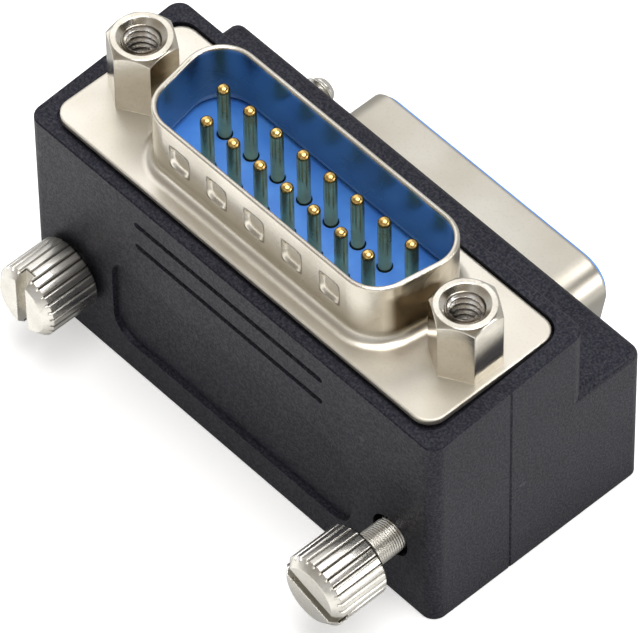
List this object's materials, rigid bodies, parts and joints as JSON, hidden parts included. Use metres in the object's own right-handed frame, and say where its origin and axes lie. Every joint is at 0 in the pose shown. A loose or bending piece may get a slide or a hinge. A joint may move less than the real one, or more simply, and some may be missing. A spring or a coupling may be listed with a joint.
{
  "type": "right-angle d-sub adapter",
  "caption": "Right-angle adapter: plastic housing with a male D connector on top, a female one at the back, hex jack standoffs and captive knurled thumb screws.",
  "frame": {"origin": "centre of the male connector's pattern, on the front face of its flange", "axes": "+Z out of the male connector, +Y out of the female connector, X along the length"},
  "size_m": [0.0422, 0.0334, 0.0261],
  "materials": {
    "housing_plastic": "fine grained dark grey moulded plastic",
    "shell_plating": "satin nickel plated steel",
    "insulator_plastic": "smooth blue moulded plastic",
    "contact_plating": "gold plated",
    "standoff_plating": "nickel plated",
    "screw_plating": "nickel plated, knurled",
    "nut_steel": "plain steel",
    "ring_steel": "spring steel",
    "tinned_wire": "tinned copper"
  },
  "bodies": {
    "housing": {"front_housing": "housing_plastic", "rear_housing": "housing_plastic", "male_front_shell": "shell_plating", "male_rear_shell": "shell_plating", "male_front_insulator": "insulator_plastic", "male_rear_insulator": "insulator_plastic", "female_front_shell": "shell_plating", "female_rear_shell": "shell_plating", "female_front_insulator": "insulator_plastic", "female_rear_insulator": "insulator_plastic", "wide_row_wires": "tinned_wire", "narrow_row_wires": "tinned_wire", "left_hex_standoff": "standoff_plating", "right_hex_standoff": "standoff_plating", "left_captive_nut": "nut_steel", "right_captive_nut": "nut_steel", "male_pin_01": "contact_plating", "male_pin_02": "contact_plating", "male_pin_03": "contact_plating", "male_pin_04": "contact_plating", "male_pin_05": "contact_plating", "male_pin_06": "contact_plating", "male_pin_07": "contact_plating", "male_pin_08": "contact_plating", "male_pin_09": "contact_plating", "male_pin_10": "contact_plating", "male_pin_11": "contact_plating", "male_pin_12": "contact_plating", "male_pin_13": "contact_plating", "male_pin_14": "contact_plating", "male_pin_15": "contact_plating", "female_contact_01": "contact_plating", "female_contact_02": "contact_plating", "female_contact_03": "contact_plating", "female_contact_04": "contact_plating", "female_contact_05": "contact_plating", "female_contact_06": "contact_plating", "female_contact_07": "contact_plating", "female_contact_08": "contact_plating", "female_contact_09": "contact_plating", "female_contact_10": "contact_plating", "female_contact_11": "contact_plating", "female_contact_12": "contact_plating", "female_contact_13": "contact_plating", "female_contact_14": "contact_plating", "female_contact_15": "contact_plating"},
    "left_ring": {"left_retaining_ring": "ring_steel"},
    "left_screw": {"left_thumb_screw": "screw_plating"},
    "right_ring": {"right_retaining_ring": "ring_steel"},
    "right_screw": {"right_thumb_screw": "screw_plating"}
  },
  "joints": [
    {"name": "left_screw_slide", "type": "slide", "parent": "housing", "child": "left_ring", "axis": [0, -1, 0], "range_m": [0, 0.0028]},
    {"name": "left_screw_turn", "type": "hinge", "parent": "left_ring", "child": "left_screw", "pos_m": [-0.01666, -0.01, -0.0141], "axis": [0, -1, 0], "continuous": true},
    {"name": "right_screw_slide", "type": "slide", "parent": "housing", "child": "right_ring", "axis": [0, -1, 0], "range_m": [-0.00255, 0.00025]},
    {"name": "right_screw_turn", "type": "hinge", "parent": "right_ring", "child": "right_screw", "pos_m": [0.01666, -0.0125, -0.0141], "axis": [0, -1, 0], "continuous": true}
  ]
}
